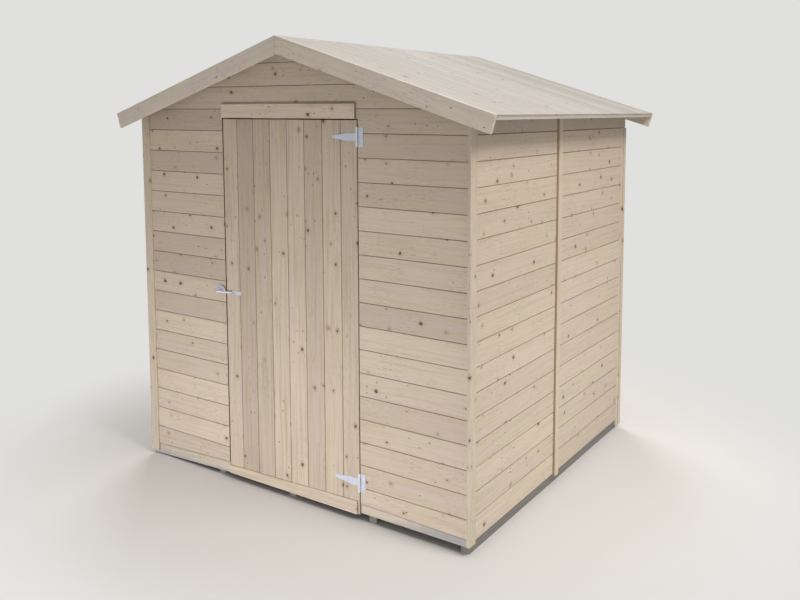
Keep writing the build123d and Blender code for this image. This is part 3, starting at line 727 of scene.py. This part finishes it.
def pairs(lines):
    """Two heights in each board between the joints, at the nails' inset from each of them. A board
    lower than 2.5 insets has none."""
    low, high = np.array(lines[:-1]), np.array(lines[1:])
    room = high - low > 2.5 * NAIL_INSET
    return np.stack([low[room] + NAIL_INSET, high[room] - NAIL_INSET], axis=1).ravel()


def stray(values):
    """The values, each moved by up to the nails' stray."""
    return values + rng.uniform(-NAIL_STRAY, NAIL_STRAY, len(values))


nail_profile = (
    (0, 0.0007),
    (NAIL_RADIUS * 0.7, 0.0006),
    (NAIL_RADIUS, 0.0002),
    (NAIL_RADIUS, -0.0006),
    (0, -0.0006),
)
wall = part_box("right_wall_front")[1]
rows = pairs(board_lines(SIDE_FOOT, wall.z))
nails = []
for sign in (-1, 1):
    for y in STUD_LINES:
        across = stray(np.full(len(rows), y))
        points = np.stack([np.full(len(rows), sign * wall.x), across, stray(rows)], axis=1)
        nails.append((points, (sign, 0, 0)))
for sign, foot, places in ((-1, FRONT_FOOT, FRONT_POST_LINES), (1, BACK_FOOT, BACK_POST_LINES)):
    rows = pairs(board_lines(foot, LAST_NAILS))
    off_plates = np.abs(rows[:, None] - HINGE_HEIGHTS).min(axis=1) > PLATE_HALF_HEIGHT
    for x in places:
        free = rows[off_plates] if x == HINGE_POST else rows
        across = stray(np.full(len(free), x))
        points = np.stack([across, np.full(len(free), sign * WALL_FACE), stray(free)], axis=1)
        nails.append((points, (0, sign, 0)))
fastened("nails_walls", nails, nail_profile, NAIL_SIDES, steel, "shed")

# Roof boards: 17 a slope, from the ridge to the eaves, bare and weathered pale grey, plumb at the
# ridge and square at the eaves. They are nailed down to the beam, purlins and walls, and the barge
# boards cover their front and back edges.
ROOF_THICK = 0.011
ROOF_BOARDS = 17
ROOF_BEVEL = 0.0012
ROOF_JOINT_SHADE = 0.45
roof_wood = timber(
    "roof_wood",
    pale=(0.53, 0.505, 0.485),
    streak=(0.385, 0.36, 0.34),
    grey=(0.40, 0.395, 0.395),
    knots=0.24,
    variation=1.2,
    roughened=0.5,
    ends=0.1,
)
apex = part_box("roof_right")[1].z
slope_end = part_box("roof_right")[1].x / math.cos(ROOF_PITCH)
for side, sign in (("left", -1), ("right", 1)):
    low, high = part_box("roof_" + side)
    down = np.array((sign * math.cos(ROOF_PITCH), 0, -math.sin(ROOF_PITCH)))
    up = np.array((sign * math.sin(ROOF_PITCH), 0, math.cos(ROOF_PITCH)))
    underside = np.array((0, 0, apex)) - ROOF_THICK * up
    lines = np.linspace(low.y, high.y, ROOF_BOARDS + 1)
    parts = []
    for k, (near, far) in enumerate(zip(lines, lines[1:])):
        last = k == ROOF_BOARDS - 1
        section = lapped_profile(near, far, k > 0, not last, [], ROOF_BEVEL, ROOF_THICK)
        plumb = np.maximum((ROOF_THICK - section[:, 1]) * ROOF_FALL, 0.0)
        ends = np.stack([plumb, np.full(len(section), slope_end)], axis=1)
        section[:, 2] *= ROOF_JOINT_SHADE
        number = 600.0 + k + 40 * sign
        placed = (underside, down, (0, 1, 0), up)
        parts.append(carried(section, ends, *placed, number, rng.random() ** 2))
    joined("boards_roof_" + side, "roof_" + side, parts, roof_wood, "shed")

# Eaves strips: thin planed strips under the lower edges of the roof boards, which stiffen them.
# They are nearly free of knots and a little browner than the boards above.
eaves_wood = timber(
    "eaves_wood",
    pale=(0.60, 0.545, 0.49),
    streak=(0.48, 0.42, 0.36),
    grey=(0.54, 0.49, 0.44),
    knots=0.05,
    variation=0.5,
)
sawn("eaves_strips", eaves_wood, "shed", 560.0, wear=0.001)

# Barge boards: planed boards, 84 mm wide and smooth, over the roof's front and back edges. They are
# mitred plumb at the ridge, cut square at the tips, and nailed to the roof's end boards.
barge_wood = timber(
    "barge_wood",
    pale=(0.745, 0.655, 0.57),
    streak=(0.61, 0.525, 0.445),
    grey=(0.64, 0.56, 0.49),
    knots=0.03,
    variation=0.6,
    roughened=0.2,
    ends=0.3,
)
for k, name in enumerate(("barge_front_left", "barge_front_right", "barge_back_left", "barge_back_right")):
    sawn(name, barge_wood, "shed", 800.0 + k, wear=0.0018)

# Corner battens and header: planed softwood with many knots, face-nailed. The battens cover the ends
# of the cladding at the corners, and the header the edge of the cladding over the doorway.
trim_wood = timber(
    "trim_wood",
    pale=(0.62, 0.535, 0.425),
    streak=(0.45, 0.36, 0.26),
    grey=(0.51, 0.425, 0.345),
    knots=0.75,
    variation=0.7,
    roughened=0.25,
    ends=0.3,
)
header_wood = timber(
    "header_wood",
    pale=(0.735, 0.625, 0.505),
    streak=(0.51, 0.40, 0.30),
    grey=(0.57, 0.47, 0.40),
    knots=0.45,
    variation=0.7,
    roughened=0.25,
)
sawn("corner_battens", trim_wood, "shed", 820.0)
sawn("door_header", header_wood, "shed", 840.0)

# Cover battens: one planed batten on each side wall and one at the back, face-nailed over the joint
# between two panels. Their narrow sides are drawn dark brown: partly a real stain and partly painted
# shade.
STAINED_SHADED_SIDE = 0.0216
cover_wood = timber(
    "cover_wood",
    pale=(0.66, 0.56, 0.44),
    streak=(0.47, 0.365, 0.26),
    grey=(0.53, 0.44, 0.375),
    knots=0.16,
    variation=0.7,
    roughened=0.25,
    stain_and_shade_from=STAINED_SHADED_SIDE,
)
sawn("cover_battens", cover_wood, "shed", 830.0)

# Strips at the foot of the front: planed softwood, nailed on below the lowest cladding boards. They
# taper a little, and rain has splashed them grey along the lower edge, most at the right corner.
# the damp's height over the ground, and how much it rises between two places towards the right
DAMP_TOP = 0.004
DAMP_RISE = 0.075
DAMP_FROM, DAMP_TO = 0.62, 0.95
DAMP_GREY = (0.33, 0.335, 0.345)
strip_wood = timber(
    "strip_wood",
    pale=(0.62, 0.54, 0.45),
    streak=(0.44, 0.36, 0.29),
    grey=(0.50, 0.45, 0.40),
    knots=0.10,
    variation=0.9,
    roughened=0.4,
)
tree = strip_wood.node_tree
base = tree.nodes["Principled BSDF"].inputs["Base Color"]
where = node(tree, "ShaderNodeTexCoord").outputs["Object"]
right, _, up = node(tree, "ShaderNodeSeparateXYZ", {0: where}).outputs
splash = noise(tree, where, 14.0, 4.0)
damp = mapped(tree, right, DAMP_FROM, DAMP_TO, 0.0, DAMP_RISE)
damp = calc(tree, "ADD", calc(tree, "MULTIPLY_ADD", splash, 0.05, damp), DAMP_TOP)
damp = mapped(tree, calc(tree, "SUBTRACT", damp, up), -0.02, 0.03, 0.0, 0.75)
tree.links.new(mixed(tree, damp, base.links[0].from_socket, DAMP_GREY), base)
sawn("base_strips", strip_wood, "shed", 850.0)

# Door: eight upright boards with V joints, nailed to three ledges and two braces, and a strip across
# the foot. The outer two boards are narrower, so the joints stay 112 mm apart across the rest.
DOOR_BOARDS = 8
AGED_DOOR_BOARDS = (1, 5)
door_wood = timber(
    "door_wood",
    pale=(0.63, 0.534, 0.42),
    streak=(0.37, 0.28, 0.195),
    grey=(0.465, 0.38, 0.315),
    knots=0.46,
    variation=1.8,
)
low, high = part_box("door_boards")
door_face = low.y
middle = (low.x + high.x) / 2
lines = [low.x, *[middle + k * BOARD_COVER for k in range(-3, 4)], high.x]
parts = []
for k, (left, right) in enumerate(zip(lines, lines[1:])):
    section = lapped_profile(left, right, k > 0, k < DOOR_BOARDS - 1, [], V_BEVEL)
    ends = np.tile([low.z, high.z], (len(section), 1))
    placed = ((0, high.y, 0), (0, 0, 1), (1, 0, 0), (0, -1, 0))
    parts.append(carried(section, ends, *placed, 901.0 + k, float(k in AGED_DOOR_BOARDS)))
joined("boards_door", "door_boards", parts, door_wood, "door")
sawn("door_ledges", frame_wood, "door", 920.0, wear=0.002)
sawn("door_braces", frame_wood, "door", 930.0, wear=0.002)
sawn("door_kick_strip", door_wood, "door", 940.0)

# Door nails: the same nails as in the walls, two through each board into each ledge. There are none
# where a hinge's strap or the hasp's plate lies over the ledge.
MIDDLE_LEDGE = 1.0095
LEDGE_NAILS = 0.018
# the hinges' straps lie right of the first place, and the hasp's plate left of the second
STRAPS_FROM = 0.28
HASP_PLATE_TO = -0.3
ledge_heights = (HINGE_HEIGHTS[0], MIDDLE_LEDGE, HINGE_HEIGHTS[1])
rows = np.add.outer(ledge_heights, (-LEDGE_NAILS, LEDGE_NAILS)).ravel()
board_middles = (np.array(lines[:-1]) + np.array(lines[1:])) / 2
x, z = (grid.ravel() for grid in np.meshgrid(board_middles, rows, indexing="ij"))
in_middle_ledge = np.abs(z - MIDDLE_LEDGE) < 2 * LEDGE_NAILS
under_iron = np.where(in_middle_ledge, x < HASP_PLATE_TO, x > STRAPS_FROM)
x, z = x[~under_iron], z[~under_iron]
points = np.stack([x, np.full(len(x), door_face), z], axis=1)
points += rng.uniform(-NAIL_STRAY, NAIL_STRAY, points.shape) * (1, 0, 1)
fastened("nails_door", [(points, (0, -1, 0))], nail_profile, NAIL_SIDES, steel, "door")

# Ironwork: T hinges, hasp plate, pins and staple of zinc plated steel, dull and slightly blue. The
# hinges' knuckles stand proud of their plates and carry a painted highlight, a paler grey.
SPANGLES_A_METRE = 260.0
ZINC_DARK = (0.46, 0.475, 0.575)
ZINC_PALE = (0.65, 0.665, 0.745)
KNUCKLE_HIGHLIGHT = (0.66, 0.68, 0.70)
# distances out from the middle of the shed, between which the painted highlight comes onto the knuckles
KNUCKLES = {"Start": 0.9145, "Full": 0.9185}


def proud_highlight_group():
    """Where steel that stands proud of the front gets a painted highlight: the share goes from 0 to 1
    while -y goes from Start to Full."""
    inputs = {"Position": "Vector", "Start": "Float", "Full": "Float"}
    tree, given = effect("proud_highlight", inputs, {"Share": "Float"})
    back = node(tree, "ShaderNodeSeparateXYZ", {0: given["Position"]}).outputs[1]
    share = mapped(tree, calc(tree, "MULTIPLY", back, -1.0), given["Start"], given["Full"])
    node(tree, "NodeGroupOutput", {"Share": share})
    return tree


proud_highlight = proud_highlight_group()


def plated(material, *cad_nodes):
    """Gives a material to nodes of the part that keep their own mesh."""
    for name in cad_nodes:
        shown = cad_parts[name].data.materials
        shown.clear()
        shown.append(material)


zinc, tree, shader = bare("zinc")
where = node(tree, "ShaderNodeTexCoord").outputs["Object"]
spangle = node(tree, "ShaderNodeTexVoronoi", {"Vector": where, "Scale": SPANGLES_A_METRE})
spangle = node(tree, "ShaderNodeSeparateColor", {0: spangle.outputs["Color"]}).outputs[0]
cloud = calc(tree, "MULTIPLY", noise(tree, where, 60.0, 3.0), 0.6)
cloud = calc(tree, "MULTIPLY_ADD", spangle, 0.4, cloud)
tint = mixed(tree, cloud, ZINC_DARK, ZINC_PALE)
proud = node(tree, "ShaderNodeGroup", {"Position": where, **KNUCKLES}, node_tree=proud_highlight).outputs[0]
# the knuckles' paler grey is a painted highlight
tree.links.new(mixed(tree, proud, tint, KNUCKLE_HIGHLIGHT), shader.inputs["Base Color"])
tree.links.new(mapped(tree, cloud, 0.0, 1.0, 0.30, 0.50), shader.inputs["Roughness"])
shader.inputs["Metallic"].default_value = 0.45
plated(zinc, "hinge_plates", "hinge_pins", "hinge_straps", "hasp_plate", "hasp_pin", "staple")

# Hasp leaf: a pressed steel leaf with the same plating, which turns on the hasp's pin. It is a little
# tarnished on its flat lug, and the rib of its bar is smoother and carries a painted highlight,
# near white.
TARNISH_DARK = (0.36, 0.345, 0.42)
TARNISH_PALE = (0.52, 0.50, 0.58)
RIB_HIGHLIGHT = (0.93, 0.92, 0.91)
RIB = {"Start": 0.9183, "Full": 0.9196}
leaf_steel, tree, shader = bare("leaf_steel")
where = node(tree, "ShaderNodeTexCoord").outputs["Object"]
tarnish = mixed(tree, noise(tree, where, 90.0, 3.0), TARNISH_DARK, TARNISH_PALE)
proud = node(tree, "ShaderNodeGroup", {"Position": where, **RIB}, node_tree=proud_highlight).outputs[0]
# the rib's near white is a painted highlight; its lower roughness is real smoothness
tree.links.new(mixed(tree, proud, tarnish, RIB_HIGHLIGHT), shader.inputs["Base Color"])
tree.links.new(mapped(tree, proud, 0.0, 1.0, 0.45, 0.28), shader.inputs["Roughness"])
shader.inputs["Metallic"].default_value = 0.3
plated(leaf_steel, "hasp_leaf")

# Screws: domed steel heads in the holes of the hinges' plates and straps and of the hasp's plate,
# plated like them and driven into the post and the door's ledges.
SCREW_SIDES = 16
METAL_THICK = 0.0025
PLATE_SCREWS, PLATE_SPACING = 0.471, 0.035
STRAP_SCREWS = (0.314, 0.3725, 0.431)
HASP_SCREWS, HASP_HEIGHT = (-0.351, -0.327), 1.009
screw_profile = (
    (0, 0.0006),
    (0.0007, 0.0006),
    (0.0009, 0.0013),
    (0.0022, 0.0011),
    (0.0034, 0.0002),
    (0.0034, 0.0),
    (0.0021, -0.0015),
    (0, -0.0015),
)
metal_y = door_face - METAL_THICK
plate_heights = np.add.outer(HINGE_HEIGHTS, (-PLATE_SPACING, PLATE_SPACING)).ravel()
in_plates = [(PLATE_SCREWS, metal_y, z) for z in plate_heights]
in_straps = [(x, metal_y, z) for z in HINGE_HEIGHTS for x in STRAP_SCREWS]
in_hasp = [(x, metal_y, HASP_HEIGHT) for x in HASP_SCREWS]
for name, places, body in (
    ("screws_hinge_plates", in_plates, "shed"),
    ("screws_door", in_straps + in_hasp, "door"),
):
    sets = [(places, (0, -1, 0))]
    fastened(name, sets, screw_profile, SCREW_SIDES, zinc, body)

# Floor: one pale sheet under the shed. Far from the shed the camera sees it in the backdrop's even
# tone, so it runs into the sky without a horizon. Near the shed it is plain paper and takes the
# shed's shadow.
PAPER_SEEN = 0.80
PAPER_BOUNCE = 0.36
BACKDROP = 0.75
BACKDROP_TINT = (1.0, 0.995, 0.985)
# distances from the shed's middle, between which the paper fades into the backdrop
FADE_FROM, FADE_TO = 1.5, 2.6
SHEET_REACH = 60.0


def seen(tree):
    """1 for what the camera sees, also in a gloss or through something clear, and 0 for light that
    bounces."""
    path = node(tree, "ShaderNodeLightPath").outputs
    glossy = calc(tree, "MAXIMUM", path["Is Glossy Ray"], path["Is Transmission Ray"])
    return calc(tree, "MAXIMUM", path["Is Camera Ray"], glossy)


paper, tree, shader = bare("paper")
shader.inputs["Roughness"].default_value = 1.0
shader.inputs["Specular IOR Level"].default_value = 0.0
where = node(tree, "ShaderNodeTexCoord").outputs["Object"]
away = node(tree, "ShaderNodeVectorMath", {0: where}, operation="LENGTH").outputs["Value"]
away = mapped(tree, away, FADE_FROM, FADE_TO, ease="SMOOTHSTEP")
looked_at = seen(tree)
shade = mapped(tree, looked_at, 0.0, 1.0, PAPER_BOUNCE, PAPER_SEEN)
shade = node(tree, "ShaderNodeCombineColor", {0: shade, 1: shade, 2: shade}).outputs[0]
tree.links.new(shade, shader.inputs["Base Color"])
even = node(tree, "ShaderNodeEmission", {"Color": (*BACKDROP_TINT, 1), "Strength": BACKDROP})
faded = {0: calc(tree, "MULTIPLY", away, looked_at), 1: shader.outputs[0], 2: even.outputs[0]}
faded = node(tree, "ShaderNodeMixShader", faded).outputs[0]
tree.links.new(faded, tree.nodes["Material Output"].inputs["Surface"])
sheet = bpy.data.meshes.new("ground")
edge = [(x * SHEET_REACH, y * SHEET_REACH, 0) for x, y in ((-1, -1), (1, -1), (1, 1), (-1, 1))]
sheet.from_pydata(edge, [], [(0, 1, 2, 3)])
sheet.materials.append(paper)
ground = bpy.data.objects.new("ground", sheet)
bpy.context.scene.collection.objects.link(ground)

# Light: an even pale sky, a broad soft light from above and one from the front right, a light from
# behind for the other views, and low ones that lift the feet of the front and the right wall.
SKY = 0.31
SKY_TINT = (1.0, 0.962, 0.905)
WARM_WHITE = (1.0, 0.962, 0.915)
world = bpy.data.worlds.new("sky")
bpy.context.scene.world = world
world.use_nodes = True
tree = world.node_tree
background = tree.nodes["Background"]
looked_at = seen(tree)
tree.links.new(mapped(tree, looked_at, 0.0, 1.0, SKY, BACKDROP), background.inputs["Strength"])
tree.links.new(mixed(tree, looked_at, SKY_TINT, BACKDROP_TINT), background.inputs["Color"])
for name, place, aim, wide, tall, power, color in (
    ("overhead", (0.6, -0.4, 7.5), (0.6, -0.4, 0.0), 6.0, 6.0, 115.0, WARM_WHITE),
    ("right", (4.2, -1.0, 5.2), (1.0, 0.0, 0.8), 2.4, 1.6, 180.0, WARM_WHITE),
    ("low", (0.1, -2.7, 0.06), (0.1, -0.9, 0.45), 3.2, 0.1, 37.0, (0.955, 0.965, 1.0)),
    ("back", (-4.0, 4.6, 3.6), (0.0, 0.0, 0.9), 4.0, 3.0, 260.0, (1.0, 0.97, 0.93)),
    ("right_low", (2.9, 0.0, 0.05), (1.0, 0.0, 0.45), 2.6, 0.08, 21.0, (0.93, 0.975, 1.0)),
):
    light = bpy.data.lights.new(name, "AREA")
    light.shape = "RECTANGLE"
    light.size = wide
    light.size_y = tall
    light.energy = power
    light.color = color
    x, y, z = np.subtract(aim, place)
    lamp = bpy.data.objects.new(name, light)
    lamp.location = place
    lamp.rotation_euler = (math.atan2(math.hypot(x, y), -z), 0, math.atan2(-x, y))
    lamp.visible_camera = False
    bpy.context.scene.collection.objects.link(lamp)

# Camera: at the photograph's place, a little above eye level before the front right corner, with
# the photograph's angle of view. It looks a little down, and the shift gives the framing.
CAMERA_PLACE = (2.8023, -3.9239, 1.9502)
LOOK_DOWN = 5.471
TURN_LEFT = 33.061
lens = bpy.data.cameras.new("camera")
lens.sensor_width = 36.0
lens.lens = 37.506
lens.shift_x = -0.03694
lens.shift_y = -0.13718
camera = bpy.data.objects.new("camera", lens)
camera.location = CAMERA_PLACE
camera.rotation_euler = (math.radians(90 - LOOK_DOWN), 0, math.radians(TURN_LEFT))
bpy.context.scene.collection.objects.link(camera)
bpy.context.scene.camera = camera
bpy.context.scene.view_settings.view_transform = "Standard"
